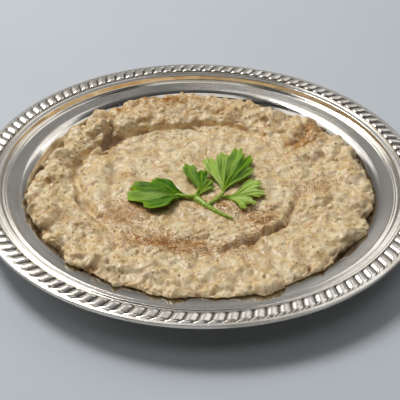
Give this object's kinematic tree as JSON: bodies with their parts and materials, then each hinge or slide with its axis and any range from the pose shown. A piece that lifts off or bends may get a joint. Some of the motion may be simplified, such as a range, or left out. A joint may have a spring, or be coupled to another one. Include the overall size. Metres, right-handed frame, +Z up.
{
  "type": "baba ganoush on a round tray",
  "caption": "Coarse aubergine dip spread as a swirled disc with a raised ring, topped with a parsley sprig, on a shallow round silver-plated tray with a gadroon border.",
  "frame": {"origin": "centre of the tray's flat base, on the surface it stands on", "axes": "+Z up, +Y towards the far side of the dish, +X to the right as the sprig is seen with its cut stem towards the front right"},
  "size_m": [0.254, 0.254, 0.0209],
  "materials": {
    "silver_plate": "polished silver plate, slightly scuffed",
    "stamped_border": "polished silver plate on stamped relief, warm in the hollows",
    "dip": "moist coarse mash, beige with browner flecks",
    "parsley": "fresh leaf, softly glossy"
  },
  "bodies": {
    "root": {"tray": "silver_plate", "gadroon_border": "stamped_border", "baba_ganoush": "dip", "parsley_sprig": "parsley"}
  },
  "joints": []
}
